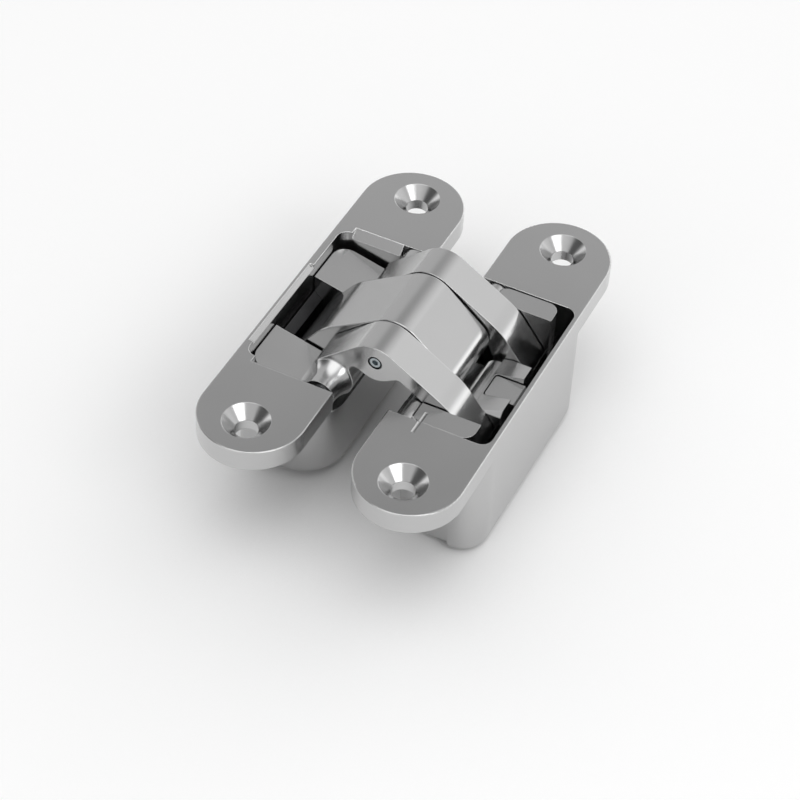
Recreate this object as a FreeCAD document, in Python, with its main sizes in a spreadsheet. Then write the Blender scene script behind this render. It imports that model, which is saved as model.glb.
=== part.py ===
"""Concealed door hinge, opened flat to 180 degrees.

Millimetres, +Z up. The origin lies midway between the two leaves, at the level of the door housing's back.
+X runs from the frame leaf to the door leaf, +Y along the leaves. The leaves' faces are at Z = door_depth,
and every piece is drawn with Z = 0 on those faces, then raised by its Placement.

How it works: two outer arms turn on a pin in the frame housing, and their long ends slide in the door housing.
The wide arm between them turns on a pin in the door housing, and its long end slides in the frame housing.
All three cross on the centre pin.
"""
import FreeCAD, Part
import math
import os
import re
import Sketcher

# Driving dimensions: name, value, meaning
DIMENSIONS = [
    ("leaf_width", 28.0, "width of each leaf"),
    ("leaf_length", 115.0, "length of each leaf, over its round ends"),
    ("leaf_gap", 14.5, "gap between the leaves when the hinge is open flat"),
    ("leaf_thickness", 6.0, "thickness of the leaf's flange"),
    ("leaf_edge", 0.3, "rounding of the leaf's upper edge"),
    ("screw_spacing", 94.0, "distance between a leaf's two fixing holes"),
    ("screw_hole", 6.0, "diameter of a fixing hole"),
    ("screw_head", 12.2, "diameter of a fixing hole's countersink"),
    ("screw_angle", 90.0, "angle of the countersink"),
    ("door_depth", 36.5, "depth of the door housing from the leaf's face to its back"),
    ("frame_depth", 34.5, "depth of the frame housing from the leaf's face to its back"),
    ("door_length", 64.0, "length of the door housing behind the leaf"),
    ("frame_length", 61.2, "length of the frame housing behind the leaf"),
    ("door_step", 2.0, "how far the door housing's inner side stands back from the leaf's edge"),
    ("frame_step", 1.45, "how far the frame housing's inner side stands back from the leaf's edge"),
    ("housing_corner", 7.2, "radius of the housings' outer upright corners"),
    ("housing_inner_corner", 12.0, "radius of the housings' inner upright corners"),
    ("housing_edge", 3.0, "rounding of the housings' back edges"),
    ("door_floor", 3.0, "thickness of the door housing's floor"),
    ("frame_floor", 2.4, "thickness of the frame housing's floor"),
    ("door_outer_wall", 1.15, "thickness of the door housing's outer wall"),
    ("frame_outer_wall", 2.1, "thickness of the frame housing's outer wall"),
    ("inner_wall", 2.0, "thickness of the housings' inner walls"),
    ("inner_wall_drop", 12.8, "depth of the inner wall's upper edge under the leaf's face, at the arms"),
    ("end_relief", 1.0, "depth of the relief in the housings' end faces"),
    ("end_relief_x", 27.3, "distance of that relief's outer side from the middle"),
    ("door_pocket_length", 54.6, "length of the pocket in the door housing"),
    ("frame_pocket_length", 52.8, "length of the pocket in the frame housing"),
    ("frame_opening_length", 57.2, "length of that pocket at the leaf's face"),
    ("pocket_corner", 3.0, "radius of the pockets' outer upright corners"),
    ("door_inner_corner", 5.0, "radius of the door pocket's inner upright corners"),
    ("frame_inner_corner", 8.0, "radius of the frame pocket's inner upright corners"),
    ("rim_chamfer", 1.2, "chamfer on the rim beside the frame pocket"),
    ("rim_chamfer_start", 22.0, "distance of that chamfer's near end from the middle"),
    ("end_slope_x", 30.2, "where the sloping end walls of the frame pocket stop"),
    ("channel_floor", 1.5, "thickness of the frame housing's floor under the wide arm's channel"),
    ("seat_gap", 0.3, "clearance of a guide block in its pocket"),
    ("running_gap", 0.35, "clearance beside and under a moving arm"),
    ("channel_gap", 0.55, "clearance of the wide arm in its channel"),
    ("bush_gap", 0.2, "clearance at a slide bush's end"),
    ("pin_gap", 0.05, "radial clearance of a turning pin"),
    ("fit_gap", 0.02, "radial clearance of a pin or sleeve that is held"),
    ("pivot_x", 11.6, "distance of each housing pin from the middle"),
    ("pivot_drop", 3.45, "depth of each housing pin under the leaf's face"),
    ("centre_height", 6.6, "height of the centre pin above the leaf's face"),
    ("slide_x", 24.4, "distance of each sliding pin from the middle, hinge open"),
    ("slide_drop", 12.0, "depth of each sliding pin under the leaf's face, hinge open"),
    ("closed_gap", 4.5, "gap between the leaves when the hinge is closed"),
    ("wide_arm_width", 19.8, "width of the wide arm"),
    ("outer_arm_width", 10.3, "width of each outer arm"),
    ("arm_gap", 0.4, "gap between the wide arm and each outer arm"),
    ("pivot_lobe", 5.8, "radius of an arm's end round its housing pin"),
    ("centre_lobe", 5.7, "radius of an arm's lower side round the centre pin"),
    ("slide_lobe", 4.1, "radius of an arm's end round its sliding pin"),
    ("ridge_x", 0.85, "offset of the ridge's corner from the middle"),
    ("ridge_height", 13.45, "height of the ridge's corner before rounding"),
    ("ridge_radius", 8.2, "rounding of the ridge"),
    ("knee_x", 20.1, "distance of the long side's knee from the middle"),
    ("knee_height", 0.3, "height of that knee"),
    ("knee_radius", 17.0, "rounding of that knee"),
    ("bar_thickness", 4.3, "thickness of an arm's long side"),
    ("bar_end_x", 15.5, "where the long side starts to thicken towards its end"),
    ("waist_x", 5.4, "distance of the notch under the short side from the middle"),
    ("waist_height", 1.15, "height of the notch's centre"),
    ("waist_radius", 1.6, "radius of the notch and of the arm's other inner corners"),
    ("outer_arm_edge", 0.15, "rounding of the outer arms' outlines"),
    ("wide_arm_edge", 0.35, "rounding of the wide arm's outline"),
    ("boss_radius", 4.15, "radius of the bosses round the frame pin"),
    ("boss_gap", 1.0, "gap between a boss and the end of its bay"),
    ("boss_flare", 1.0, "length of the boss's cone at the arm, before rounding"),
    ("boss_flare_radius", 2.5, "rounding between that cone and the boss"),
    ("pin_hold", 2.4, "how far the frame pin reaches into the leaf at each end"),
    ("centre_pin_radius", 2.5, "radius of the centre pin in the wide arm"),
    ("centre_end_radius", 1.75, "radius of the centre pin's ends"),
    ("centre_recess", 0.2, "width of the recess round the centre pin's ends"),
    ("centre_recess_depth", 0.6, "depth of that recess"),
    ("socket_width", 1.5, "width over the flats of the centre pin's socket"),
    ("socket_depth", 1.4, "depth of that socket"),
    ("pivot_pin_radius", 2.0, "radius of the two housing pins"),
    ("sleeve_wall", 0.8, "wall of the bearing sleeves"),
    ("spacer_radius", 3.0, "outer radius of the spacers on the door pin"),
    ("slide_pin_radius", 1.5, "radius of the sliding pins"),
    ("bush_radius", 2.5, "radius of the slide bushes"),
    ("bush_width", 2.6, "width of a slide bush"),
    ("washer_radius", 4.8, "radius of the washers between the arms"),
    ("washer_thickness", 0.3, "thickness of those washers"),
    ("frame_end_gap", 1.4, "gap between a frame guide block and the pocket's end"),
    ("frame_block_corner", 4.5, "radius of the frame guide blocks' outer upright corners"),
    ("guide_top", 3.9, "depth of the frame's guide blocks at the outer wall"),
    ("guide_slope_x", 19.6, "where the frame guide blocks' sloping tops end"),
    ("guide_low", 7.1, "depth of the guide blocks' tops at that point"),
    ("guide_corner", 3.0, "radius of the door guide blocks' outer upright corners"),
    ("channel_wall", 2.2, "thickness of the curved plate behind the frame channel"),
    ("channel_top", 9.0, "depth of that plate's upper edge"),
    ("channel_turn", 20.0, "depth at which that plate starts to curve"),
    ("channel_curve", 12.5, "radius of that curve"),
    ("channel_foot", 26.0, "distance of the plate's foot from the middle"),
    ("door_guide_top", 0.3, "depth of the door's guide blocks under the leaf's face"),
    ("door_guide_slope", 1.2, "how far their upper inner edge drops"),
    ("door_guide_end", 29.4, "distance of the door guide blocks' outer side from the middle"),
    ("door_guide_start", 13.6, "distance of their upper inner edge from the middle"),
    ("groove_x", 15.9, "distance of the narrow groove in the near door guide block from the middle"),
    ("groove_start", 23.5, "where that groove starts in the block"),
    ("groove_end", 31.3, "where it ends in the leaf"),
    ("groove_radius", 0.5, "radius of the groove's section"),
    ("groove_rise", 0.3, "height of that radius's centre over the metal's face"),
    ("centre_block_low", 8.0, "depth of the door's centre block beside its round edge"),
    ("centre_block_top", 6.1, "depth of its tabs at their outer ends"),
    ("centre_block_start", 17.3, "distance of the centre block's upper part from the middle"),
    ("centre_block_round", 4.0, "rounding of that part's inner edge"),
    ("centre_slope_x", 21.8, "distance from the middle at which the tabs start to rise"),
    ("centre_block_end", 30.0, "distance of the centre block's outer side from the middle"),
    ("centre_foot_top", 13.0, "depth of the centre block's lower part"),
    ("tab_half", 8.7, "half the width over the tabs' tops"),
    ("stop_width", 7.5, "width of the stop block"),
    ("stop_start", 22.6, "distance of the stop block's inner side from the middle"),
    ("stop_end", 31.3, "distance of the stop block's outer side from the middle"),
    ("stop_top", 8.0, "depth of the stop block"),
    ("stop_height", 8.0, "height of the stop block"),
    ("stop_gap", 0.3, "gap round the stop block in its seat"),
    ("stop_corner", 0.8, "radius of the stop block's inner upright corners"),
    ("stop_chamfer", 0.7, "chamfer on the stop block's outer end"),
    ("guide_screw", 1.75, "radius of the screws that hold the guide blocks"),
    ("guide_screw_length", 8.0, "how far those screws reach into the blocks"),
    ("guide_screw_head", 2.9, "radius of their heads"),
    ("guide_screw_rise", 1.4, "height of their heads"),
    ("guide_screw_key", 2.5, "width over the flats of their sockets"),
    ("guide_screw_key_depth", 1.2, "depth of those sockets"),
    ("guide_screw_inset", 4.2, "distance of a door guide's screw from the block's inner side"),
    ("guide_screw_sink", 0.4, "depth of the screw heads' faces in the housings' backs"),
    ("frame_screw_x", 20.5, "distance of the frame blocks' screws from the middle"),
    ("centre_screw_y", 4.4, "distance of the centre block's screws from the middle"),
]
VALUE = {name: value for name, value, meaning in DIMENSIONS}

doc = FreeCAD.newDocument("Hinge")
sheet = doc.addObject("Spreadsheet::Sheet", "Dims")
for row, (name, value, meaning) in enumerate(DIMENSIONS, start=1):
    sheet.set(f"A{row}", meaning)
    sheet.set(f"B{row}", str(value))
    sheet.setAlias(f"B{row}", name)
doc.recompute()

FINISHED = []


def formula(text):
    """Turns a formula in the names above into an expression on the sheet's cells."""
    return re.sub(r"[a-z]+(?:_[a-z]+)+", lambda word: "Dims." + word.group(0), text)


def number(text):
    """The present value of such a formula."""
    return float(sheet.evalExpression(formula(text)))


def bind(item, name, text):
    item.setExpression(name, formula(text))


def across(side, text):
    """The formula for an X on the door side (1) or, mirrored, on the frame side (-1)."""
    return text if side > 0 else f"-({text})"


def finish(item, label):
    """Names a finished piece and raises it so that the leaves' faces are at door_depth."""
    item.Label = label
    if item.TypeId != "Part::Feature":
        bind(item, "Placement.Base.z", "door_depth")
    FINISHED.append(item)
    return item


# Sketches

def add_sketch(body, plane, offset):
    sketch = body.newObject("Sketcher::SketchObject", "Sketch")
    support = [item for item in body.Origin.OriginFeatures if item.Role == plane][0]
    sketch.AttachmentSupport = [(support, "")]
    sketch.MapMode = "FlatFace"
    bind(sketch, "AttachmentOffset.Base.z", offset)
    return sketch


def place_point(sketch, geometry, position, across_text, up_text):
    """Ties a point of the sketch to its two coordinates."""
    for kind, text, axis in (("DistanceX", across_text, -2), ("DistanceY", up_text, -1)):
        if text == "0":
            sketch.addConstraint(Sketcher.Constraint("PointOnObject", geometry, position, axis))
        else:
            value = number(text)
            index = sketch.addConstraint(Sketcher.Constraint(kind, -1, 1, geometry, position, value))
            bind(sketch, f"Constraints[{index}]", text)


def set_radius(sketch, geometry, text):
    index = sketch.addConstraint(Sketcher.Constraint("Radius", geometry, number(text)))
    bind(sketch, f"Constraints[{index}]", text)


def draw_circle(sketch, across_text, up_text, radius_text):
    centre = FreeCAD.Vector(number(across_text), number(up_text), 0)
    circle = Part.Circle(centre, FreeCAD.Vector(0, 0, 1), number(radius_text))
    index = sketch.addGeometry(circle, False)
    place_point(sketch, index, 3, across_text, up_text)
    set_radius(sketch, index, radius_text)


def draw_outline(sketch, items):
    """Draws a closed outline of straight lines.

    Each item is (kind, across, up, radius). A corner is a point where two lines meet, rounded if it has a radius.
    A hub is an arc about that centre on the outside of the shape, and a bay one that is cut into it. The lines
    run tangent to the hubs and bays.
    """
    centres = [FreeCAD.Vector(number(item[1]), number(item[2]), 0) for item in items]
    radii = [number(item[3]) if item[3] else 0.0 for item in items]
    count = len(items)
    area = sum(a.x * b.y - b.x * a.y for a, b in zip(centres, centres[1:] + centres[:1]))
    outward = 1 if area > 0 else -1
    turns = [outward * {"corner": 0, "hub": 1, "bay": -1}[item[0]] for item in items]

    headings = []
    for first in range(count):
        second = (first + 1) % count
        step = centres[second] - centres[first]
        shift = turns[second] * radii[second] - turns[first] * radii[first]
        headings.append(math.atan2(step.y, step.x) - math.asin(shift / step.Length))

    def left_of(angle):
        return FreeCAD.Vector(-math.sin(angle), math.cos(angle), 0)

    arrivals, departures, middles, bends = [], [], [], []
    for index, item in enumerate(items):
        before = headings[index - 1]
        after = headings[index]
        centre = centres[index]
        radius = radii[index]
        if item[0] == "corner":
            turning = (after - before + math.pi) % (2 * math.pi) - math.pi
            bend = 1 if turning > 0 else -1
            setback = radius * math.tan(abs(turning) / 2)
            start = centre - FreeCAD.Vector(math.cos(before), math.sin(before), 0) * setback
            end = centre + FreeCAD.Vector(math.cos(after), math.sin(after), 0) * setback
            centre = start + left_of(before) * (bend * radius)
        else:
            bend = turns[index]
            start = centre - left_of(before) * (bend * radius)
            end = centre - left_of(after) * (bend * radius)
        arrivals.append(start)
        departures.append(end)
        middles.append(centre)
        bends.append(bend)

    lines = []
    for index in range(count):
        line = Part.LineSegment(departures[index], arrivals[(index + 1) % count])
        lines.append(sketch.addGeometry(line, False))
    for index, (kind, across_text, up_text, radius_text) in enumerate(items):
        line_in = lines[index - 1]
        line_out = lines[index]
        if not radius_text:
            sketch.addConstraint(Sketcher.Constraint("Coincident", line_in, 2, line_out, 1))
            place_point(sketch, line_out, 1, across_text, up_text)
            continue
        circle = Part.Circle(middles[index], FreeCAD.Vector(0, 0, 1), radii[index])
        angles = [math.atan2(end.y - middles[index].y, end.x - middles[index].x)
                  for end in (arrivals[index], departures[index])]
        ends = (1, 2)
        if bends[index] < 0:
            angles.reverse()
            ends = (2, 1)
        if angles[1] < angles[0]:
            angles[1] += 2 * math.pi
        arc = sketch.addGeometry(Part.ArcOfCircle(circle, angles[0], angles[1]), False)
        sketch.addConstraint(Sketcher.Constraint("Tangent", line_in, 2, arc, ends[0]))
        sketch.addConstraint(Sketcher.Constraint("Tangent", arc, ends[1], line_out, 1))
        set_radius(sketch, arc, radius_text)
        if kind == "corner":
            point = sketch.addGeometry(Part.Point(centres[index]), True)
            place_point(sketch, point, 1, across_text, up_text)
            sketch.addConstraint(Sketcher.Constraint("PointOnObject", point, 1, line_in))
            sketch.addConstraint(Sketcher.Constraint("PointOnObject", point, 1, line_out))
        else:
            place_point(sketch, arc, 3, across_text, up_text)


# Features: each adds material between two levels, or cuts it away

def along_y(body, low, high, shape, cut=False):
    """Extrudes an outline in X and Z between two values of Y."""
    offset = f"-({low})" if cut else f"-({high})"
    return extrude(body, "XZ_Plane", offset, f"({high}) - ({low})", shape, cut)


def along_z(body, low, high, shape, cut=False):
    """Extrudes an outline in X and Y between two values of Z."""
    offset = high if cut else low
    return extrude(body, "XY_Plane", offset, f"({high}) - ({low})", shape, cut)


def along_x(body, low, high, shape, cut=False):
    """Extrudes an outline in Y and Z between two values of X."""
    offset = high if cut else low
    return extrude(body, "YZ_Plane", offset, f"({high}) - ({low})", shape, cut)


def extrude(body, plane, offset, length, shape, cut):
    sketch = add_sketch(body, plane, offset)
    if isinstance(shape, list):
        draw_outline(sketch, shape)
    else:
        draw_circle(sketch, *shape)
    feature = body.newObject("PartDesign::Pocket" if cut else "PartDesign::Pad", "Cut" if cut else "Pad")
    feature.Profile = sketch
    before = body.Shape.Volume if cut else 0
    bind(feature, "Length", length)
    doc.recompute()
    if cut and feature.Shape.Volume > before - 1e-6:
        raise RuntimeError(f"a cut in {body.Name} takes nothing away")
    return feature


def box_outline(x_low, x_high, y_low, y_high, radius=None):
    """A rectangle's corners, anticlockwise. With a list of four radii each corner has its own."""
    radii = radius if isinstance(radius, list) else [radius] * 4
    corners = [(x_low, y_low), (x_high, y_low), (x_high, y_high), (x_low, y_high)]
    return [("corner", x, y, r) for (x, y), r in zip(corners, radii)]


def round_edges(body, kind, size, chosen):
    """Rounds or chamfers the edges of the body's present shape that are chosen."""
    tip = body.Tip
    names = [f"Edge{index}" for index, edge in enumerate(tip.Shape.Edges, start=1) if chosen(edge)]
    if not names:
        raise RuntimeError(f"no edge of {body.Name} is chosen")
    feature = body.newObject(f"PartDesign::{kind}", kind)
    feature.Base = (tip, names)
    if kind == "Fillet":
        bind(feature, "Radius", size)
    else:
        bind(feature, "Size", size)
    doc.recompute()
    return feature


def new_body(name):
    return doc.addObject("PartDesign::Body", name)


def turned_pin(label, x, z, sections):
    """A round piece along Y. Each section is (low, high, radius)."""
    body = new_body(label)
    for low, high, radius in sections:
        along_y(body, low, high, (x, z, radius))
    return body


def sleeve(label, x, z, low, high, outer, inner):
    """A round piece along Y with a bore."""
    body = turned_pin(label, x, z, [(low, high, outer)])
    along_y(body, low, high, (x, z, inner), cut=True)
    return finish(body, label)


# Places that several pieces share, as formulas
LEAF_MIDDLE = "leaf_gap / 2 + leaf_width / 2"
LEAF_OUTER = "leaf_gap / 2 + leaf_width"
DOOR_POCKET = ("leaf_gap / 2 + door_step + inner_wall", "leaf_gap / 2 + leaf_width - door_outer_wall")
FRAME_POCKET = ("leaf_gap / 2 + frame_step + inner_wall", "leaf_gap / 2 + leaf_width - frame_outer_wall")
DOOR_FOOT = "-(door_depth - door_floor - seat_gap)"
FRAME_FOOT = "-(frame_depth - frame_floor - seat_gap)"
DOOR_INNER = "leaf_gap / 2 + door_step + inner_wall + seat_gap"
FRAME_INNER = "leaf_gap / 2 + frame_step + inner_wall + seat_gap"
FRAME_OUTER = "leaf_gap / 2 + leaf_width - frame_outer_wall - seat_gap"
WIDE_HALF = "wide_arm_width / 2"
OUTER_NEAR = "wide_arm_width / 2 + arm_gap"
OUTER_FAR = "wide_arm_width / 2 + arm_gap + outer_arm_width"
CHANNEL_HALF = "wide_arm_width / 2 + channel_gap"
BAY = "pivot_lobe + running_gap + pin_gap"
WIDE_BUSH = "wide_arm_width / 2 + channel_gap + bush_gap"
CENTRE_HALF = "wide_arm_width / 2 + arm_gap / 2"
INNER_BUSH = "wide_arm_width / 2 + arm_gap / 2 - bush_gap - bush_width"
DOOR_GUIDE_LOW = "wide_arm_width / 2 + arm_gap + outer_arm_width + running_gap"
DOOR_GUIDE_HIGH = "door_pocket_length / 2 - seat_gap"
OUTER_BUSH = "wide_arm_width / 2 + arm_gap + outer_arm_width + running_gap + bush_gap"
FRAME_BLOCK_END = "frame_pocket_length / 2 - frame_end_gap"
FRAME_SCREW_Y = f"({CHANNEL_HALF} + {FRAME_BLOCK_END}) / 2"
DOOR_SCREW_X = f"{DOOR_INNER} + guide_screw_inset"
DOOR_SCREW_Y = f"({DOOR_GUIDE_LOW} + {DOOR_GUIDE_HIGH}) / 2"
BOSS_END = "frame_opening_length / 2 - boss_gap"
BOSS_BAY = "pivot_x + boss_radius + running_gap"
BOSS_DROP = "pivot_drop + boss_radius + running_gap"
FLARE_END = f"{OUTER_FAR} + boss_flare + boss_flare_radius"
CENTRE_SCREW_X = "(centre_block_start + centre_block_end) / 2"


def beside(side, low, high):
    """The lower and upper Y of a stretch on the near (-1) or far (1) side of the middle."""
    return (low, high) if side > 0 else (f"-({high})", f"-({low})")


# Kinematics: how far the arms turn, and the way of a sliding pin in its housing

def fold_angles():
    """Turn of the arms on their housing pins, and of the arms on each other, from open to closed."""
    reach = math.hypot(VALUE["pivot_x"], VALUE["centre_height"] + VALUE["pivot_drop"])
    start = math.atan2(VALUE["centre_height"] + VALUE["pivot_drop"], VALUE["pivot_x"])
    end = math.pi - math.asin((VALUE["closed_gap"] / 2 + VALUE["pivot_drop"]) / reach)
    turn = end - start
    return turn, 2 * turn - math.pi


def turned(point, centre, angle):
    """A point (x, z) turned about a centre, from +X towards +Z."""
    x = point[0] - centre[0]
    z = point[1] - centre[1]
    return (centre[0] + x * math.cos(angle) - z * math.sin(angle),
            centre[1] + x * math.sin(angle) + z * math.cos(angle))


def slide_way(side, steps=12):
    """Centres of a sliding pin in its housing's axes as the hinge closes."""
    turn, scissor = fold_angles()
    pivot = (-VALUE["pivot_x"], -VALUE["pivot_drop"])
    crossing = (0.0, VALUE["centre_height"])
    start = (-VALUE["slide_x"], -VALUE["slide_drop"])
    way = []
    for step in range(steps + 1):
        share = step / steps
        point = turned(start, crossing, -scissor * share)
        x, z = turned(point, pivot, turn * share)
        way.append((-x * side, z))
    return way


def slot_tool(name, side, low, high):
    """The space that a slide bush needs along its way, between two values of Y: a curved slot with round ends.

    The slot follows a circle through three points of the way, and is wider by what the way strays from it.
    """
    way = [FreeCAD.Vector(x, number(low), z + number("door_depth")) for x, z in slide_way(side)]
    first, middle, last = way[0], way[len(way) * 2 // 3], way[-1]
    circle = Part.Circle(first, middle, last)
    stray = max(abs((point - circle.Center).Length - circle.Radius) for point in way)
    half = number("bush_radius + running_gap / 2") + stray

    def shifted(point, distance):
        outward = (point - circle.Center).normalize()
        return point + outward * distance

    def cap(point, other):
        """The round end at one point, bulging away from the other."""
        outward = (point - circle.Center).normalize()
        tangent = outward.cross(FreeCAD.Vector(0, 1, 0))
        if tangent.dot(other - point) > 0:
            tangent = tangent * -1
        return Part.Arc(shifted(point, half), point + tangent * half, shifted(point, -half))

    rim = Part.Wire([edge.toShape() for edge in (
        Part.Arc(shifted(first, half), shifted(middle, half), shifted(last, half)),
        cap(last, first),
        Part.Arc(shifted(last, -half), shifted(middle, -half), shifted(first, -half)),
        cap(first, last),
    )])
    tool = doc.addObject("Part::Feature", name)
    tool.Shape = Part.Face(rim).extrude(FreeCAD.Vector(0, number(f"({high}) - ({low})"), 0))
    return tool


def cut_with(base, tools, label):
    """Cuts tools in the row's own axes out of a finished body."""
    bind(base, "Placement.Base.z", "door_depth")
    base.Label = f"{label}_blank"
    doc.recompute()
    for index, tool in enumerate(tools):
        cut = doc.addObject("Part::Cut", f"{label}_cut{index}")
        cut.Base = base
        cut.Tool = tool
        base = cut
    doc.recompute()
    base.Label = label
    FINISHED.append(base)
    return base


# Housings

def leaf_outline(side):
    """The leaf's stadium shape."""
    middle = across(side, LEAF_MIDDLE)
    reach = "leaf_length / 2 - leaf_width / 2"
    return [("hub", middle, f"-({reach})", "leaf_width / 2"), ("hub", middle, reach, "leaf_width / 2")]


def guide_screw_places(side):
    """Centres of the screws that come through a housing's floor into its blocks."""
    if side < 0:
        return [("-frame_screw_x", f"{end} * {FRAME_SCREW_Y}") for end in (-1, 1)]
    places = [(DOOR_SCREW_X, f"{end} * {DOOR_SCREW_Y}") for end in (-1, 1)]
    return places + [(CENTRE_SCREW_X, f"{end} * centre_screw_y") for end in (-1, 1)]


def housing_half(label, side, low, high, half, depth, corners):
    """The inner or outer half of the housing behind the leaf, its back edge rounded save where the halves meet."""
    body = new_body(label)
    along_z(body, f"-{depth}", "-leaf_thickness / 2", box_outline(
        across(side, low), across(side, high), f"-({half})", half, corners))
    back = -number(depth)
    seam = side * number("end_relief_x")
    round_edges(body, "Fillet", "housing_edge",
                lambda edge: abs(edge.BoundBox.ZMax - back) < 0.01 and abs(edge.CenterOfMass.x - seam) > 0.01)
    return body


def make_housing(label, side):
    """A housing: a leaf, and behind it a deep pocket whose end faces are relieved on the inner side."""
    depth, length, step, floor, pocket, inner_corner = [
        f"{'door' if side > 0 else 'frame'}_{name}"
        for name in ("depth", "length", "step", "floor", "pocket_length", "inner_corner")]
    inner_x, outer_x = DOOR_POCKET if side > 0 else FRAME_POCKET
    halves = [
        housing_half(f"{label}_inner", side, f"leaf_gap / 2 + {step}", "end_relief_x", f"{length} / 2 - end_relief",
                     depth, ["housing_inner_corner", None, None, "housing_inner_corner"]),
        housing_half(f"{label}_outer", side, "end_relief_x", LEAF_OUTER, f"{length} / 2",
                     depth, [None, "housing_corner", "housing_corner", None]),
    ]
    body = new_body(label)
    along_z(body, "-leaf_thickness", "0", leaf_outline(side))
    round_edges(body, "Fillet", "leaf_edge",
                lambda edge: abs(edge.BoundBox.ZMin) < 0.01)
    joined = body.newObject("PartDesign::Boolean", "Joined")
    joined.setObjects(halves)
    joined.Type = "Fuse"
    doc.recompute()

    inner = across(side, inner_x)
    pocket_half = f"{pocket} / 2"
    floor_level = f"-({depth} - {floor})"
    along_z(body, floor_level, "leaf_thickness", box_outline(
        inner, across(side, outer_x), f"-({pocket_half})", pocket_half,
        [inner_corner, "pocket_corner", "pocket_corner", inner_corner]), cut=True)
    beside_gap = across(side, "leaf_gap / 4")
    past_corner = across(side, f"{inner_x} + {inner_corner}")
    along_z(body, f"-({BOSS_DROP})", "leaf_thickness", box_outline(
        beside_gap, past_corner, f"-({pocket_half})", pocket_half), cut=True)
    along_z(body, "-inner_wall_drop", "leaf_thickness", box_outline(
        beside_gap, past_corner, f"-({FLARE_END})", FLARE_END), cut=True)
    if side < 0:
        open_frame_pocket(body)
    else:
        along_y(body, "-groove_end", f"-({pocket_half}) + seat_gap", ("groove_x", "groove_rise", "groove_radius"),
                cut=True)

    for end in (-1, 1):
        y = f"{end} * screw_spacing / 2"
        middle = across(side, LEAF_MIDDLE)
        along_z(body, "-leaf_thickness - screw_hole", "leaf_thickness", (middle, y, "screw_hole / 2"), cut=True)
    for x, y in guide_screw_places(side):
        along_z(body, f"-{depth}", f"{floor_level} + seat_gap", (x, y, "guide_screw + fit_gap"), cut=True)
        along_z(body, f"-{depth}", f"-{depth} + guide_screw_sink + guide_screw_rise + seat_gap",
                (x, y, "guide_screw_head + seat_gap"), cut=True)
    doc.recompute()
    tools = [countersink(side, end) for end in (-1, 1)]
    return cut_with(body, tools, label)


def open_frame_pocket(body):
    """The frame pocket's bays for the bosses, the pin's holes, its sloping rims and the deeper floor of its channel."""
    opening = "frame_opening_length / 2"
    pocket_end = "frame_pocket_length / 2"
    rise = "leaf_edge"
    along_z(body, f"-({BOSS_DROP})", "leaf_thickness", box_outline(
        f"-({BOSS_BAY})", "-leaf_gap / 4", f"-({opening})", opening), cut=True)
    along_y(body, f"-({opening} + pin_hold)", f"{opening} + pin_hold",
            ("-pivot_x", "-pivot_drop", "pivot_pin_radius + fit_gap"), cut=True)
    for end in (-1, 1):
        along_x(body, "-end_slope_x", f"-({BOSS_BAY})", [
            ("corner", f"{end} * {pocket_end}", f"{pocket_end} - {opening}", None),
            ("corner", f"{end} * ({opening} + {rise})", rise, None),
            ("corner", f"{end} * {pocket_end}", rise, None),
        ], cut=True)
    rim = FRAME_POCKET[1]
    along_y(body, "-rim_chamfer_start", CHANNEL_HALF, [
        ("corner", f"-({rim})", "-rim_chamfer", None),
        ("corner", f"-({rim})", rise, None),
        ("corner", f"-({rim} + rim_chamfer + {rise})", rise, None),
    ], cut=True)
    along_z(body, "-(frame_depth - channel_floor)", "-(frame_depth - frame_floor) + seat_gap", box_outline(
        "-(channel_foot - seat_gap)", f"-({FRAME_POCKET[0]})", f"-({CHANNEL_HALF})", CHANNEL_HALF), cut=True)


def countersink(side, end):
    """The cone that lets a screw head sit flush, a little proud of the leaf's face."""
    cone = doc.addObject("Part::Cone", "Countersink")
    spread = "tan(screw_angle / 2)"
    bind(cone, "Radius1", "screw_hole / 2")
    bind(cone, "Radius2", f"screw_head / 2 + leaf_edge * {spread}")
    bind(cone, "Height", f"(screw_head - screw_hole) / 2 / {spread} + leaf_edge")
    bind(cone, "Placement.Base.x", across(side, LEAF_MIDDLE))
    bind(cone, "Placement.Base.y", f"{end} * screw_spacing / 2")
    bind(cone, "Placement.Base.z", f"door_depth - (screw_head - screw_hole) / 2 / {spread}")
    return cone


make_housing("frame_housing", -1)
make_housing("door_housing", 1)


# Arms

def arm_outline(side):
    """An arm's side view, with its long side towards +X (side 1) or -X (side -1)."""
    slope = "(ridge_height - knee_height) / (ridge_x + knee_x)"
    lower = f"ridge_height - bar_thickness * sqrt(1 + ({slope})^2)"
    under_end = f"{lower} - ({slope}) * (bar_end_x + ridge_x)"
    under_start_x = "centre_lobe + waist_radius / 2"
    under_start = f"{lower} - ({slope}) * ({under_start_x} + ridge_x)"
    return [
        ("hub", across(-side, "pivot_x"), "-pivot_drop", "pivot_lobe"),
        ("corner", across(-side, "ridge_x"), "ridge_height", "ridge_radius"),
        ("corner", across(side, "knee_x"), "knee_height", "knee_radius"),
        ("hub", across(side, "slide_x"), "-slide_drop", "slide_lobe"),
        ("corner", across(side, "bar_end_x"), under_end, "waist_radius"),
        ("corner", across(side, under_start_x), under_start, "waist_radius"),
        ("hub", "0", "centre_height", "centre_lobe"),
        ("bay", across(-side, "waist_x"), "waist_height", "waist_radius"),
    ]


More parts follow.
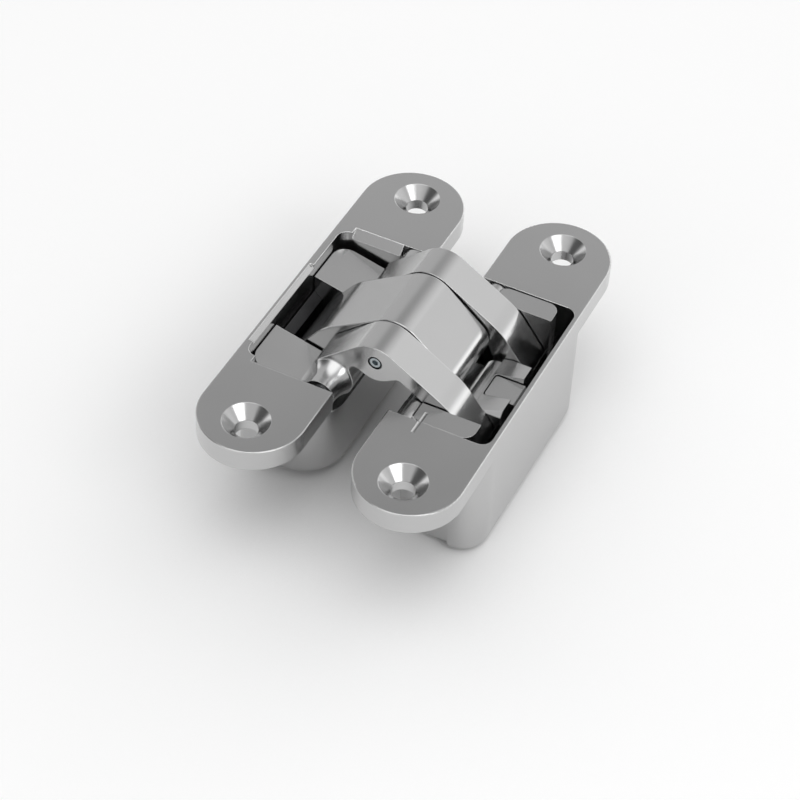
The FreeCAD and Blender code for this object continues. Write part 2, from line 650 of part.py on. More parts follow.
def make_outer_arm(label, end):
    """An outer arm on the near (-1) or far (1) side of the wide arm."""
    body = new_body(label)
    low, high = beside(end, OUTER_NEAR, OUTER_FAR)
    along_y(body, low, high, arm_outline(1))
    faces = (number(low), number(high))
    round_edges(body, "Fillet", "outer_arm_edge",
                lambda edge: any(abs(edge.BoundBox.YMin - y) + abs(edge.BoundBox.YMax - y) < 0.01 for y in faces))
    add_boss(body, end)
    along_y(body, *beside(end, f"{OUTER_NEAR} - arm_gap", f"{BOSS_END} + boss_gap"),
            ("-pivot_x", "-pivot_drop", "pivot_pin_radius + pin_gap + sleeve_wall + fit_gap"), cut=True)
    along_y(body, *beside(end, f"{OUTER_NEAR} - arm_gap", f"{OUTER_FAR} + arm_gap"),
            ("0", "centre_height", "centre_end_radius + fit_gap"), cut=True)
    along_y(body, *beside(end, f"{OUTER_FAR} - centre_recess_depth", f"{OUTER_FAR} + arm_gap"),
            ("0", "centre_height", "centre_end_radius + centre_recess"), cut=True)
    along_y(body, *beside(end, f"{OUTER_NEAR} - arm_gap", f"{OUTER_FAR} + arm_gap"),
            ("slide_x", "-slide_drop", "slide_pin_radius + fit_gap"), cut=True)
    return finish(body, label)


def add_boss(body, end):
    """The boss round the frame pin, turned about the pin's axis, which flares into the arm's side."""
    sketch = add_sketch(body, "XY_Plane", "-pivot_drop")
    bind(sketch, "AttachmentOffset.Base.x", "-pivot_x")
    root = f"{end} * ({OUTER_FAR} - outer_arm_edge)"
    corners = [
        ("corner", "0", root, None),
        ("corner", "-(pivot_lobe - outer_arm_edge)", root, None),
        ("corner", "-(pivot_lobe - outer_arm_edge)", f"{end} * ({OUTER_FAR})", None),
        ("corner", "-boss_radius", f"{end} * ({OUTER_FAR} + boss_flare)", "boss_flare_radius"),
        ("corner", "-boss_radius", f"{end} * ({BOSS_END})", None),
        ("corner", "0", f"{end} * ({BOSS_END})", None),
    ]
    draw_outline(sketch, corners)
    boss = body.newObject("PartDesign::Revolution", "Boss")
    boss.Profile = sketch
    boss.ReferenceAxis = (sketch, ["V_Axis"])
    boss.Angle = 360
    doc.recompute()


def make_wide_arm():
    body = new_body("wide_arm")
    low, high = f"-{WIDE_HALF}", WIDE_HALF
    along_y(body, low, high, arm_outline(-1))
    faces = (number(low), number(high))
    round_edges(body, "Fillet", "wide_arm_edge",
                lambda edge: any(abs(edge.BoundBox.YMin - y) + abs(edge.BoundBox.YMax - y) < 0.01 for y in faces))
    out = "wide_arm_width / 2 + arm_gap"
    bores = [
        ("pivot_x", "-pivot_drop", "pivot_pin_radius + pin_gap + sleeve_wall + fit_gap"),
        ("0", "centre_height", "centre_pin_radius + pin_gap + sleeve_wall + fit_gap"),
        ("-slide_x", "-slide_drop", "slide_pin_radius + fit_gap"),
    ]
    for bore in bores:
        along_y(body, f"-({out})", out, bore, cut=True)
    return finish(body, "wide_arm")


make_outer_arm("outer_arm_near", -1)
make_outer_arm("outer_arm_far", 1)
make_wide_arm()


# Pins, sleeves, washers and slide bushes

def make_centre_pin():
    """The pin on which the arms cross: a journal with two thinner ends, each with a socket."""
    reach = f"{OUTER_FAR} - 0.25 * centre_recess_depth"
    journal = "wide_arm_width / 2 + arm_gap"
    body = turned_pin("centre_pin", "0", "centre_height", [
        (f"-({journal})", journal, "centre_pin_radius"),
        (f"-({reach})", reach, "centre_end_radius"),
    ])
    corner = "socket_width / 2 / cos(30)"
    flats = [("corner", f"{corner} * cos({angle})", f"centre_height + {corner} * sin({angle})", None)
             for angle in range(30, 390, 60)]
    for end in (-1, 1):
        low, high = beside(end, f"{OUTER_FAR} - socket_depth", f"{OUTER_FAR} + socket_depth")
        along_y(body, low, high, flats, cut=True)
    return finish(body, "centre_pin")


make_centre_pin()
sleeve("centre_sleeve", "0", "centre_height", f"-({WIDE_HALF})", WIDE_HALF,
       "centre_pin_radius + pin_gap + sleeve_wall", "centre_pin_radius + pin_gap")
for word, end in (("near", -1), ("far", 1)):
    washer_low = f"{OUTER_NEAR} - washer_thickness"
    sleeve(f"arm_washer_{word}", "0", "centre_height", *beside(end, washer_low, OUTER_NEAR),
           "washer_radius", "centre_pin_radius + fit_gap")
    sleeve(f"outer_arm_sleeve_{word}", "-pivot_x", "-pivot_drop", *beside(end, OUTER_NEAR, BOSS_END),
           "pivot_pin_radius + pin_gap + sleeve_wall", "pivot_pin_radius + pin_gap")
    sleeve(f"door_spacer_{word}", "pivot_x", "-pivot_drop",
           *beside(end, CENTRE_HALF, f"{DOOR_GUIDE_LOW} - fit_gap"),
           "spacer_radius", "pivot_pin_radius + fit_gap")
sleeve("wide_arm_sleeve", "pivot_x", "-pivot_drop", f"-({WIDE_HALF})", WIDE_HALF,
       "pivot_pin_radius + pin_gap + sleeve_wall", "pivot_pin_radius + pin_gap")

finish(turned_pin("frame_pivot_pin", "-pivot_x", "-pivot_drop",
                  [("-(frame_opening_length / 2 + pin_hold - seat_gap)",
                    "frame_opening_length / 2 + pin_hold - seat_gap", "pivot_pin_radius")]),
       "frame_pivot_pin")
finish(turned_pin("door_pivot_pin", "pivot_x", "-pivot_drop",
                  [(f"-({DOOR_GUIDE_HIGH} - seat_gap)", f"{DOOR_GUIDE_HIGH} - seat_gap", "pivot_pin_radius")]),
       "door_pivot_pin")

finish(turned_pin("wide_slide_pin", "-slide_x", "-slide_drop",
                  [(f"-({WIDE_BUSH} + bush_width)", f"{WIDE_BUSH} + bush_width", "slide_pin_radius")]),
       "wide_slide_pin")
for word, end in (("near", -1), ("far", 1)):
    sleeve(f"wide_slide_bush_{word}", "-slide_x", "-slide_drop",
           *beside(end, WIDE_BUSH, f"{WIDE_BUSH} + bush_width"), "bush_radius", "slide_pin_radius + fit_gap")
    pin = f"outer_slide_pin_{word}"
    finish(turned_pin(pin, "slide_x", "-slide_drop",
                      [(*beside(end, INNER_BUSH, f"{OUTER_BUSH} + bush_width"), "slide_pin_radius")]), pin)
    sleeve(f"inner_slide_bush_{word}", "slide_x", "-slide_drop",
           *beside(end, INNER_BUSH, f"{INNER_BUSH} + bush_width"),
           "bush_radius", "slide_pin_radius + fit_gap")
    sleeve(f"outer_slide_bush_{word}", "slide_x", "-slide_drop",
           *beside(end, OUTER_BUSH, f"{OUTER_BUSH} + bush_width"),
           "bush_radius", "slide_pin_radius + fit_gap")


# Guide blocks in the frame housing

def screw_hole(body, foot, x, y):
    """The hole for a guide screw in the foot of a block."""
    along_z(body, f"{foot} - seat_gap", f"{foot} + guide_screw_length + seat_gap",
            (x, y, "guide_screw + fit_gap"), cut=True)


def make_frame_block(label, end):
    """A guide block beside the channel: its top slopes to the bay in which an outer arm turns."""
    body = new_body(label)
    low, high = beside(end, CHANNEL_HALF, FRAME_BLOCK_END)
    corners = ["frame_block_corner", "frame_inner_corner - seat_gap"]
    along_z(body, FRAME_FOOT, "-guide_top", box_outline(
        f"-({FRAME_OUTER})", f"-({FRAME_INNER})", low, high,
        corners + [None, None] if end < 0 else [None, None] + corners[::-1]))
    bay_end = f"-pivot_drop - ({BAY}) - seat_gap"
    along_y(body, *beside(end, f"{CHANNEL_HALF} - seat_gap", f"{FRAME_BLOCK_END} + seat_gap"), [
        ("corner", f"-({FRAME_OUTER})", "-guide_top", None),
        ("corner", "-guide_slope_x", "-guide_low", "waist_radius"),
        ("hub", "-pivot_x", "-pivot_drop", BAY),
        ("corner", f"-({FRAME_INNER})", bay_end, None),
        ("corner", f"-({FRAME_INNER})", "leaf_thickness", None),
        ("corner", f"-({FRAME_OUTER})", "leaf_thickness", None),
    ], cut=True)
    screw_hole(body, FRAME_FOOT, "-frame_screw_x", f"{end} * {FRAME_SCREW_Y}")
    tool = slot_tool(f"{label}_slot", -1, *beside(
        end, f"{CHANNEL_HALF} - seat_gap", f"{WIDE_BUSH} + bush_width + bush_gap"))
    return cut_with(body, [tool], label)


def make_channel_plate():
    """The curved plate behind the channel in which the wide arm slides."""
    body = new_body("channel_plate")
    along_y(body, f"-({CHANNEL_HALF} - fit_gap)", f"{CHANNEL_HALF} - fit_gap", [
        ("corner", f"-({FRAME_OUTER})", FRAME_FOOT, None),
        ("corner", "-channel_foot", FRAME_FOOT, None),
        ("corner", f"-({FRAME_OUTER} - channel_wall)", "-channel_turn", "channel_curve"),
        ("corner", f"-({FRAME_OUTER} - channel_wall)", "-channel_top - channel_wall", None),
        ("corner", f"-({FRAME_OUTER})", "-channel_top", None),
    ])
    return finish(body, "channel_plate")


make_frame_block("frame_guide_near", -1)
make_frame_block("frame_guide_far", 1)
make_channel_plate()


# Guide blocks in the door housing

def make_door_block(label, end):
    """A block beside an outer arm: it carries the door pin in a round ear and guides the arm's outer slide bush."""
    body = new_body(label)
    low, high = beside(end, DOOR_GUIDE_LOW, DOOR_GUIDE_HIGH)
    corners = ["door_inner_corner - seat_gap", "guide_corner"]
    along_z(body, DOOR_FOOT, "-door_guide_top", box_outline(
        DOOR_INNER, "door_guide_end", low, high,
        corners + [None, None] if end < 0 else [None, None] + corners[::-1]))
    past = beside(end, f"{DOOR_GUIDE_LOW} - seat_gap", f"{DOOR_GUIDE_HIGH} + seat_gap")
    along_y(body, *past, [
        ("corner", DOOR_INNER, "-door_guide_top - door_guide_slope", None),
        ("corner", "door_guide_start", "-door_guide_top", None),
        ("corner", DOOR_INNER, "-door_guide_top", None),
    ], cut=True)
    along_y(body, low, high, ("pivot_x", "-pivot_drop", "pivot_drop - door_guide_top"))
    along_y(body, *past, ("pivot_x", "-pivot_drop", "pivot_pin_radius + fit_gap"), cut=True)
    if end < 0:
        along_y(body, f"-({DOOR_GUIDE_HIGH} + seat_gap)", "-groove_start",
                ("groove_x", "groove_rise - door_guide_top", "groove_radius"), cut=True)
    screw_hole(body, DOOR_FOOT, DOOR_SCREW_X, f"{end} * {DOOR_SCREW_Y}")
    tool = slot_tool(f"{label}_slot", 1, *beside(
        end, f"{DOOR_GUIDE_LOW} - seat_gap", f"{OUTER_BUSH} + bush_width + bush_gap"))
    return cut_with(body, [tool], label)


def make_centre_block():
    """The block between the outer arms' channels, under the wide arm's short end."""
    body = new_body("centre_block")
    along_y(body, f"-({CENTRE_HALF})", CENTRE_HALF, [
        ("corner", "centre_block_end", DOOR_FOOT, None),
        ("corner", "centre_block_end", "-centre_block_top", None),
        ("corner", "centre_slope_x", "-centre_block_low", None),
        ("corner", "centre_block_start", "-centre_block_low", "centre_block_round"),
        ("corner", "centre_block_start", "-centre_foot_top", None),
        ("corner", DOOR_INNER, "-centre_foot_top", None),
        ("corner", DOOR_INNER, DOOR_FOOT, None),
    ])
    along_z(body, "-stop_top - stop_height", "leaf_thickness", box_outline(
        "stop_start - stop_gap", "stop_end", "-(stop_width / 2 + stop_gap)", "stop_width / 2 + stop_gap",
        ["stop_corner", None, None, "stop_corner"]), cut=True)
    tools = []
    for word, end in (("near", -1), ("far", 1)):
        along_z(body, "-centre_foot_top", "leaf_thickness", box_outline(
            "centre_block_start - seat_gap", "centre_slope_x", *beside(end, "tab_half", f"{CENTRE_HALF} + seat_gap")),
            cut=True)
        along_x(body, "centre_slope_x", "centre_block_end + seat_gap", [
            ("corner", f"{end} * tab_half", "-centre_block_top", None),
            ("corner", f"{end} * (tab_half + centre_block_top)", "-centre_block_top * 2", None),
            ("corner", f"{end} * (tab_half + centre_block_top)", "-centre_block_top", None),
        ], cut=True)
        screw_hole(body, DOOR_FOOT, CENTRE_SCREW_X, f"{end} * centre_screw_y")
        tools.append(slot_tool(f"centre_slot_{word}", 1, *beside(
            end, f"{INNER_BUSH} - bush_gap", f"{CENTRE_HALF} + seat_gap")))
    return cut_with(body, tools, "centre_block")


def make_stop_block():
    """The small block set into the centre block."""
    body = new_body("stop_block")
    along_z(body, "-stop_top - stop_height", "-stop_top", box_outline(
        "stop_start", "stop_end", "-stop_width / 2", "stop_width / 2", ["stop_corner", None, None, "stop_corner"]))
    top, end = -number("stop_top"), number("stop_end")
    round_edges(body, "Chamfer", "stop_chamfer",
                lambda edge: abs(edge.BoundBox.ZMin - top) < 0.01 and abs(edge.BoundBox.XMin - end) < 0.01)
    return finish(body, "stop_block")


make_door_block("door_guide_near", -1)
make_door_block("door_guide_far", 1)
make_centre_block()
make_stop_block()


# Screws that hold the blocks, from the housings' backs

def guide_screw(x, y, depth, foot):
    """A cap screw with a hexagonal socket, its head sunk in the housing's floor."""
    seat = f"-{depth} + guide_screw_sink + guide_screw_rise + fit_gap"
    shank = doc.addObject("Part::Cylinder", "Shank")
    bind(shank, "Radius", "guide_screw")
    bind(shank, "Height", f"{foot} + guide_screw_length - ({seat}) + fit_gap")
    head = doc.addObject("Part::Cylinder", "Head")
    bind(head, "Radius", "guide_screw_head")
    bind(head, "Height", "guide_screw_rise")
    key = doc.addObject("Part::Prism", "Key")
    key.Polygon = 6
    bind(key, "Circumradius", "guide_screw_key / 2 / cos(30)")
    bind(key, "Height", "guide_screw_key_depth + fit_gap")
    levels = ((shank, f"{seat} - fit_gap"), (head, f"{seat} - guide_screw_rise"),
              (key, f"{seat} - guide_screw_rise - fit_gap"))
    for item, level in levels:
        bind(item, "Placement.Base.x", x)
        bind(item, "Placement.Base.y", y)
        bind(item, "Placement.Base.z", level)
    solid = doc.addObject("Part::Fuse", "Screw")
    solid.Base = head
    solid.Tool = shank
    cut = doc.addObject("Part::Cut", "SocketScrew")
    cut.Base = solid
    cut.Tool = key
    return cut


def make_guide_screws(label, side):
    screws = doc.addObject("Part::Compound", label)
    held = ("door_depth", DOOR_FOOT) if side > 0 else ("frame_depth", FRAME_FOOT)
    screws.Links = [guide_screw(x, y, *held) for x, y in guide_screw_places(side)]
    return finish(screws, label)


make_guide_screws("frame_guide_screws", -1)
make_guide_screws("door_guide_screws", 1)


# Checks, then one file for each piece
doc.recompute()
for item in doc.Objects:
    if "Invalid" in item.State or "Error" in item.State:
        raise RuntimeError(f"{item.Label} failed: {item.State}")
os.makedirs("parts", exist_ok=True)
for item in FINISHED:
    shape = item.Shape
    if shape.isNull() or not shape.isValid():
        raise RuntimeError(f"{item.Label} has no valid shape")
    shape.exportStep(f"parts/{item.Label}.step")
    box = shape.BoundBox
    print(f"{item.Label}: {len(shape.Solids)} solid, {shape.Volume:.0f} mm3, "
          f"x {box.XMin:.2f} {box.XMax:.2f} y {box.YMin:.2f} {box.YMax:.2f} z {box.ZMin:.2f} {box.ZMax:.2f}")
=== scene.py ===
"""Looks of the concealed door hinge: satin plated castings, ground pins, dark bushes and studio light.

Lengths are in metres and places are in the row frame, unless a comment says otherwise.
"""
import math

import bpy
from mathutils import Matrix, Vector


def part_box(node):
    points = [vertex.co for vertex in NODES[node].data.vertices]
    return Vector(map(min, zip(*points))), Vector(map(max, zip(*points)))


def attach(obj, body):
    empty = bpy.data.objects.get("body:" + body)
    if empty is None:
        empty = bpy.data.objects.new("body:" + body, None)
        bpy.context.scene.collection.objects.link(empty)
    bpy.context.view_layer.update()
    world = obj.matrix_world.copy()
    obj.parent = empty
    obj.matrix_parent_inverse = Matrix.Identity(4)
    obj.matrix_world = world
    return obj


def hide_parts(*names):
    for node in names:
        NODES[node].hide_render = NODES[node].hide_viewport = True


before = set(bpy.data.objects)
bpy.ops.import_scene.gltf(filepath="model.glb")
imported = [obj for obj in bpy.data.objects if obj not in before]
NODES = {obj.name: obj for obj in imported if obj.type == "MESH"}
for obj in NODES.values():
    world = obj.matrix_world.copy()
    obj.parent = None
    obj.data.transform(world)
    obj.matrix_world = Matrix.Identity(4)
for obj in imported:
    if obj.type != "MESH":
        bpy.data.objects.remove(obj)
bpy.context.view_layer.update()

# Camera, as solved from the photograph: angles in degrees, lens and sensor in millimetres
CAMERA_PLACE = Vector((0.181, -0.4056, 0.459))
CAMERA_YAW = -24.285
CAMERA_PITCH = 45.187
CAMERA_ROLL = 3.0855
CAMERA_LENS = 109.5
SENSOR_WIDTH = 36.0
CLIP_START = 0.01
CLIP_END = 100.0

# Base colours of the metals and the polymer, linear
SATIN = (0.53, 0.53, 0.53)
# The channel plate is given a near-black colour, far darker than the satin parts round it
CHANNEL_DARK = (0.07, 0.07, 0.072)
PIN_STEEL = (0.50, 0.51, 0.52)
CENTRE_PIN_STEEL = (0.42, 0.46, 0.48)
SCREW_STEEL = (0.40, 0.40, 0.41)
POLYMER_DARK = (0.035, 0.035, 0.038)
# Painted highlight: the near-white mixed into edges for their bright glint
PAINTED_EDGE_HIGHLIGHT = (0.92, 0.92, 0.92, 1.0)
# Painted shade: the near-black of the ring of shade in the gap round the centre pin's ends
PAINTED_GAP_SHADE = (0.012, 0.014, 0.015, 1.0)

# Plated metal: noise scale and spread of its faint clouds, height and size of its grain
CLOUD_SCALE = 60.0
TONE_SPREAD = 0.03
GLOSS_SPREAD = 0.1
GRAIN_HEIGHT = 0.00005
CAST_GRAIN_SIZE = 0.0004
GROUND_GRAIN_SIZE = 0.0002
SCREW_GRAIN_SIZE = 0.0003

# Softened edges: their radii, and the cosines of the turn at which the painted edge highlight begins and is
# full
EDGE_RADIUS = 0.00018
HOUSING_EDGE_RADIUS = 0.00028
EDGE_HIGHLIGHT_BEGINS = 0.99
EDGE_HIGHLIGHT_FULL = 0.95

# Place of the four screw holes from the middle, and the radius inside which edges get no painted highlight
SCREW_HOLE = (0.02125, 0.047, 0.0)
COUNTERSINK_REACH = 0.0066

# Inner radius of the painted shade ring round the centre pin's ends, for the shade in the gap round the pin
PIN_SHADE_RING_RADIUS = 0.00142

# Moulded polymer: noise scale of its specks and spread of its gloss
SPECK_SCALE = 4000.0
SPECK_SPREAD = 0.15

# Bosses of the outer arms: radii of the boss and of the arm's lobe, and the distances from the middle between
# which the flare lies as modelled
BOSS_RADIUS = 0.00415
LOBE_RADIUS = 0.0058
FLARE_ROOT = 0.0207
FLARE_START = 0.02295

# How much longer the flare is on the gap's side, and the angle about the pin that faces that side
FLARE_STRETCH = 0.0042
GAP_ANGLE = math.radians(20)

# Floor: its size, the distances over which its tone falls, the two tones, and the reach and the deepest tone
# of its painted contact shade
FLOOR_SIZE = 8.0
FADE_START = 0.35
FADE_END = 0.75
TONE_NEAR = 0.99
TONE_FAR = 0.75
SHADE_REACH = 0.12
SHADE_TONE = 0.64

# Surround: strength that lights and is reflected, and strength that the camera sees
LEVEL_LIGHT = 0.68
LEVEL_SEEN = 0.98

# Regions of the surround: direction of the centre, degrees from it where the region starts and where it is
# full, and what it adds to the strength
WORLD_REGIONS = (
    ((-0.20, 0.42, 0.885), 25, 10, -0.31),
    ((-0.74, -0.46, 0.48), 33, 12, -0.56),
    ((-0.25, -0.93, 0.22), 28, 10, 0.50),
    ((0.68, 0.63, 0.36), 38, 6, 0.27),
    ((0.36, 0.62, 0.70), 18, 6, 0.15),
    ((0.02, -0.16, 0.98), 34, 14, 1.10),
    ((0.15, 0.95, 0.22), 26, 10, 1.00),
    ((0.78, 0.62, 0.10), 14, 5, 1.00),
    ((-0.96, 0.05, 0.14), 16, 5, 0.60),
)


# Node helpers

def new_material(name):
    """An empty node material, its tree and its surface output."""
    material = bpy.data.materials.new(name)
    material.use_nodes = True
    tree = material.node_tree
    tree.nodes.clear()
    return material, tree, tree.nodes.new("ShaderNodeOutputMaterial")


def add(tree, kind, **settings):
    """A node with its properties and its sockets' values set by name."""
    node = tree.nodes.new(kind)
    for name, value in settings.items():
        if hasattr(node, name):
            setattr(node, name, value)
        else:
            node.inputs[name.replace("_", " ")].default_value = value
    return node


def feed(tree, socket, value):
    """Links an input to another node's output, or sets its value."""
    if isinstance(value, bpy.types.NodeSocket):
        tree.links.new(value, socket)
    else:
        socket.default_value = value


def math_node(tree, operation, first, second):
    """The result of a math node on two outputs or numbers."""
    node = add(tree, "ShaderNodeMath", operation=operation)
    feed(tree, node.inputs[0], first)
    feed(tree, node.inputs[1], second)
    return node.outputs["Value"]


def vector_node(tree, operation, *operands, result="Vector"):
    """The result of a vector math node on one or two outputs or vectors."""
    node = add(tree, "ShaderNodeVectorMath", operation=operation)
    for socket, operand in zip(node.inputs, operands):
        feed(tree, socket, operand)
    return node.outputs[result]


def map_range(tree, value, **settings):
    """A value mapped from one range to another."""
    node = add(tree, "ShaderNodeMapRange", **settings)
    feed(tree, node.inputs["Value"], value)
    return node.outputs["Result"]


def mix(tree, factor, first, second, **settings):
    """The first output or value mixed with the second by a factor."""
    node = add(tree, "ShaderNodeMix", **settings)
    feed(tree, node.inputs["Factor"], factor)
    feed(tree, node.inputs["A"], first)
    feed(tree, node.inputs["B"], second)
    return node.outputs["Result"]


def noise(tree, place, **settings):
    """Noise at a place, from 0 to 1."""
    node = add(tree, "ShaderNodeTexNoise", **settings)
    tree.links.new(place, node.inputs["Vector"])
    return node.outputs["Fac"]


def distance_from(tree, place, point, axes):
    """Distance of a place from a point, counted along the axes that are 1 alone."""
    away = vector_node(tree, "SUBTRACT", place, point)
    return vector_node(tree, "LENGTH", vector_node(tree, "MULTIPLY", away, axes), result="Value")


# Materials

def painted_edge_highlight(tree, place, soft_normal, highlight_strength):
    """How strongly an edge gets the painted highlight: where the softened normal leaves the face's, except at
    a screw hole.
    """
    face_normal = add(tree, "ShaderNodeNewGeometry").outputs["Normal"]
    facing = vector_node(tree, "DOT_PRODUCT", soft_normal, face_normal, result="Value")
    highlight_share = map_range(tree, facing, From_Min=EDGE_HIGHLIGHT_BEGINS, From_Max=EDGE_HIGHLIGHT_FULL, To_Max=highlight_strength)
    mirrored = vector_node(tree, "ABSOLUTE", place)
    from_hole = distance_from(tree, mirrored, SCREW_HOLE, (1.0, 1.0, 0.0))
    return math_node(tree, "MULTIPLY", highlight_share, math_node(tree, "GREATER_THAN", from_hole, COUNTERSINK_REACH))


def satin_metal(name, colour, roughness, grain=0.05, grain_size=CAST_GRAIN_SIZE, edge=EDGE_RADIUS,
                highlight_strength=0.9, shade_ring_axis=None):
    """Plated metal: an even satin, faintly uneven in gloss and tone, with fine grain, soft edges and painted
    edge highlights.

    A pin's end gets a painted shade ring, for the gap's shade round it, where the ring's axis is given, a
    point of the pin's axis, which lies along Y.
    """
    material, tree, output = new_material(name)
    place = add(tree, "ShaderNodeTexCoord").outputs["Object"]
    cloud = noise(tree, place, Scale=CLOUD_SCALE, Detail=3.0, Roughness=0.5)
    gloss = map_range(tree, cloud, To_Min=roughness * (1 - GLOSS_SPREAD),
                      To_Max=roughness * (1 + GLOSS_SPREAD))
    tone = map_range(tree, cloud, To_Min=1 - TONE_SPREAD, To_Max=1 + TONE_SPREAD)
    tint = mix(tree, 1.0, (*colour, 1.0), tone, data_type="RGBA", blend_type="MULTIPLY")

    soft_normal = add(tree, "ShaderNodeBevel", samples=4, Radius=edge).outputs["Normal"]
    # Painted highlight: edges are lightened towards near-white in the colour itself, for the thin bright
    # glint along them
    tint = mix(tree, painted_edge_highlight(tree, place, soft_normal, highlight_strength), tint, PAINTED_EDGE_HIGHLIGHT, data_type="RGBA")
    # Painted shade: a near-black ring at the pin's rim, for the shade in the gap between pin and socket
    if shade_ring_axis:
        from_axis = distance_from(tree, place, shade_ring_axis, (1.0, 0.0, 1.0))
        in_shade_ring = math_node(tree, "GREATER_THAN", from_axis, PIN_SHADE_RING_RADIUS)
        tint = mix(tree, in_shade_ring, tint, PAINTED_GAP_SHADE, data_type="RGBA")

    relief = add(tree, "ShaderNodeBump", Strength=grain, Distance=GRAIN_HEIGHT)
    speck = noise(tree, place, Scale=1.0 / grain_size, Detail=2.0, Roughness=0.6)
    tree.links.new(speck, relief.inputs["Height"])
    tree.links.new(soft_normal, relief.inputs["Normal"])

    surface = add(tree, "ShaderNodeBsdfPrincipled", Metallic=1.0)
    tree.links.new(tint, surface.inputs["Base Color"])
    tree.links.new(gloss, surface.inputs["Roughness"])
    tree.links.new(relief.outputs["Normal"], surface.inputs["Normal"])
    tree.links.new(surface.outputs["BSDF"], output.inputs["Surface"])
    return material


def polymer(name, colour, roughness):
    """Moulded bearing polymer."""
    material, tree, output = new_material(name)
    place = add(tree, "ShaderNodeTexCoord").outputs["Object"]
    speck = noise(tree, place, Scale=SPECK_SCALE, Detail=2.0)
    gloss = map_range(tree, speck, To_Min=roughness * (1 - SPECK_SPREAD),
                      To_Max=roughness * (1 + SPECK_SPREAD))
    surface = add(tree, "ShaderNodeBsdfPrincipled", Base_Color=(*colour, 1.0))
    tree.links.new(gloss, surface.inputs["Roughness"])
    tree.links.new(surface.outputs["BSDF"], output.inputs["Surface"])
    return material


def dress(material, *nodes):
    """Gives CAD nodes a material through their slots."""
    for name in nodes:
        for slot in NODES[name].material_slots:
            slot.material = material


def box_centre(node):
    """The middle of a node's box at rest."""
    low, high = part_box(node)
    return tuple((a + b) / 2 for a, b in zip(low, high))


housing_metal = satin_metal("housing_satin", SATIN, roughness=0.20, edge=HOUSING_EDGE_RADIUS)
arm_metal = satin_metal("arm_satin", SATIN, roughness=0.20, highlight_strength=0.3)
guide_metal = satin_metal("guide_satin", SATIN, roughness=0.22, highlight_strength=0.25)
channel_metal = satin_metal("channel_dark", CHANNEL_DARK, roughness=0.35, highlight_strength=0.0)
pin_metal = satin_metal("pin_steel", PIN_STEEL, roughness=0.16, grain=0.03, grain_size=GROUND_GRAIN_SIZE)
centre_metal = satin_metal("centre_pin_steel", CENTRE_PIN_STEEL, roughness=0.18, grain=0.03,
                           grain_size=GROUND_GRAIN_SIZE, highlight_strength=0.0, shade_ring_axis=box_centre("centre_pin"))
screw_metal = satin_metal("screw_steel", SCREW_STEEL, roughness=0.30, grain=0.08, grain_size=SCREW_GRAIN_SIZE)
bush_polymer = polymer("bearing_polymer", POLYMER_DARK, roughness=0.4)

dress(housing_metal, "frame_housing", "door_housing")
dress(arm_metal, "wide_arm")
dress(guide_metal, "frame_guide_near", "frame_guide_far", "door_guide_near", "door_guide_far",
      "centre_block", "stop_block")
dress(channel_metal, "channel_plate")
dress(pin_metal, "frame_pivot_pin", "door_pivot_pin", "wide_slide_pin", "outer_slide_pin_near",
      "outer_slide_pin_far", "door_spacer_near", "door_spacer_far")
dress(centre_metal, "centre_pin")
dress(screw_metal, "frame_guide_screws", "door_guide_screws")
dress(bush_polymer, "centre_sleeve", "wide_arm_sleeve")
for end in ("near", "far"):
    dress(bush_polymer, f"arm_washer_{end}", f"outer_arm_sleeve_{end}", f"wide_slide_bush_{end}",
          f"inner_slide_bush_{end}", f"outer_slide_bush_{end}")


# Bosses of the outer arms

def stretch_flare(mesh, side):
    """Lengthens the flare of a boss toward the gap, and gives its points the new surface's normals."""
    axis_x, _, axis_z = box_centre("frame_pivot_pin")
    widening = LOBE_RADIUS - BOSS_RADIUS
    new_normals = {}
    for vertex in mesh.vertices:
        across, outward, upward = vertex.co.x - axis_x, side * vertex.co.y, vertex.co.z - axis_z
        radius = math.hypot(across, upward)
        if not (FLARE_ROOT < outward < FLARE_START and radius < LOBE_RADIUS):
            continue
        share = (FLARE_START - outward) / (FLARE_START - FLARE_ROOT)
        toward_gap = (1.0 + math.cos(math.atan2(upward, across) - GAP_ANGLE)) / 2
        start = FLARE_START + toward_gap * FLARE_STRETCH
        length = start - FLARE_ROOT
        new_radius = BOSS_RADIUS + widening * share ** 2
        cosine, sine = across / radius, upward / radius
        new_outward = start - share * length
        vertex.co = (axis_x + new_radius * cosine, side * new_outward, axis_z + new_radius * sine)
        slope = 2 * share * widening / length
        new_normals[vertex.index] = Vector((cosine, side * slope, sine)).normalized()
    mesh.normals_split_custom_set([new_normals.get(loop.vertex_index, Vector(corner.vector))
                                   for loop, corner in zip(mesh.loops, mesh.corner_normals)])


def flared_arm(node, side):
    """An outer arm whose boss has the longer flare. Its side is -1 or 1, the sign of its place along Y."""
    mesh = NODES[node].data.copy()
    stretch_flare(mesh, side)
    mesh.materials.clear()
    mesh.materials.append(arm_metal)
    piece = bpy.data.objects.new(f"{node}_flared", mesh)
    bpy.context.scene.collection.objects.link(piece)
    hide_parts(node)
    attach(piece, "outer_arms")


flared_arm("outer_arm_near", side=-1)
flared_arm("outer_arm_far", side=1)


# Studio

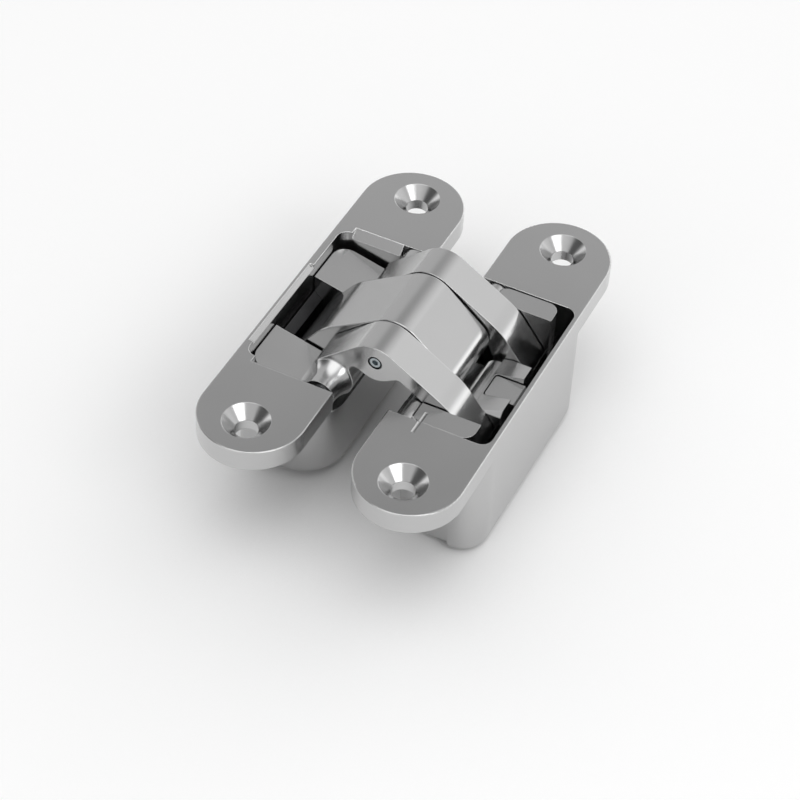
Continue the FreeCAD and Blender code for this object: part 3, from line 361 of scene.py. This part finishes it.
def make_floor():
    """A white floor that keeps the hinge's soft shadow, deepened near the hinge by a painted contact shade,
    and is a little duller far from it.
    """
    bpy.ops.mesh.primitive_plane_add(size=FLOOR_SIZE, location=(0, 0, 0))
    floor = bpy.context.object
    floor.name = "studio_floor"
    material, tree, output = new_material("studio_floor")
    place = add(tree, "ShaderNodeTexCoord").outputs["Object"]
    away = vector_node(tree, "LENGTH", place, result="Value")
    tone = map_range(tree, away, From_Min=FADE_START, From_Max=FADE_END, To_Min=TONE_NEAR, To_Max=TONE_FAR)
    # Painted shade: the floor's colour is darkened where the hinge is near and occludes it, deepening its
    # real shadow
    contact = add(tree, "ShaderNodeAmbientOcclusion", samples=8, Distance=SHADE_REACH)
    shade = map_range(tree, contact.outputs["AO"], To_Min=SHADE_TONE, To_Max=1.0)
    matt = add(tree, "ShaderNodeBsdfDiffuse")
    tree.links.new(math_node(tree, "MULTIPLY", tone, shade), matt.inputs["Color"])
    tree.links.new(matt.outputs["BSDF"], output.inputs["Surface"])
    floor.data.materials.append(material)


def make_world():
    """Soft studio surround: a base level with broad brighter and darker regions by direction."""
    world = bpy.data.worlds.new("studio")
    world.use_nodes = True
    bpy.context.scene.world = world
    tree = world.node_tree
    tree.nodes.clear()
    direction = add(tree, "ShaderNodeTexCoord").outputs["Generated"]
    level = LEVEL_LIGHT
    for centre, start, full, amount in WORLD_REGIONS:
        toward = vector_node(tree, "DOT_PRODUCT", direction, Vector(centre).normalized(), result="Value")
        region = map_range(tree, toward, interpolation_type="SMOOTHSTEP",
                           From_Min=math.cos(math.radians(start)), From_Max=math.cos(math.radians(full)))
        level = math_node(tree, "ADD", math_node(tree, "MULTIPLY", region, amount), level)
    by_camera = add(tree, "ShaderNodeLightPath").outputs["Is Camera Ray"]
    background = add(tree, "ShaderNodeBackground", Color=(1.0, 1.0, 1.0, 1.0))
    tree.links.new(mix(tree, by_camera, level, LEVEL_SEEN, data_type="FLOAT"), background.inputs["Strength"])
    output = add(tree, "ShaderNodeOutputWorld")
    tree.links.new(background.outputs["Background"], output.inputs["Surface"])


def add_softbox(name, direction, distance, size, radiance):
    """A rectangular soft light that faces the hinge. Radiance 1 shows as white in a mirror."""
    lamp = bpy.data.lights.new(name, "AREA")
    lamp.shape = "RECTANGLE"
    lamp.size, lamp.size_y = size
    lamp.energy = radiance * math.pi * size[0] * size[1]
    place = bpy.data.objects.new(name, lamp)
    bpy.context.scene.collection.objects.link(place)
    toward = Vector(direction).normalized()
    place.location = toward * distance
    place.rotation_euler = toward.to_track_quat("Z", "Y").to_euler()


def make_camera():
    """The camera at the photograph's place and angle."""
    yaw, pitch, roll = (math.radians(angle) for angle in (CAMERA_YAW, CAMERA_PITCH, CAMERA_ROLL))
    ahead = Vector((math.sin(yaw) * math.cos(pitch), math.cos(yaw) * math.cos(pitch), -math.sin(pitch)))
    level_right = Vector((math.cos(yaw), -math.sin(yaw), 0.0))
    level_up = level_right.cross(ahead)
    right = math.cos(roll) * level_right + math.sin(roll) * level_up
    up = -math.sin(roll) * level_right + math.cos(roll) * level_up
    camera = bpy.data.cameras.new("camera")
    camera.lens = CAMERA_LENS
    camera.sensor_width = SENSOR_WIDTH
    camera.clip_start = CLIP_START
    camera.clip_end = CLIP_END
    place = bpy.data.objects.new("camera", camera)
    turn = Matrix((right, up, -ahead)).transposed().to_4x4()
    place.matrix_world = Matrix.Translation(CAMERA_PLACE) @ turn
    bpy.context.scene.collection.objects.link(place)
    bpy.context.scene.camera = place


make_floor()
make_world()
add_softbox("front_right", direction=(0.673, -0.331, 0.657), distance=1.6, size=(1.16, 0.55), radiance=2.3)
make_camera()
bpy.context.scene.view_settings.view_transform = "Standard"
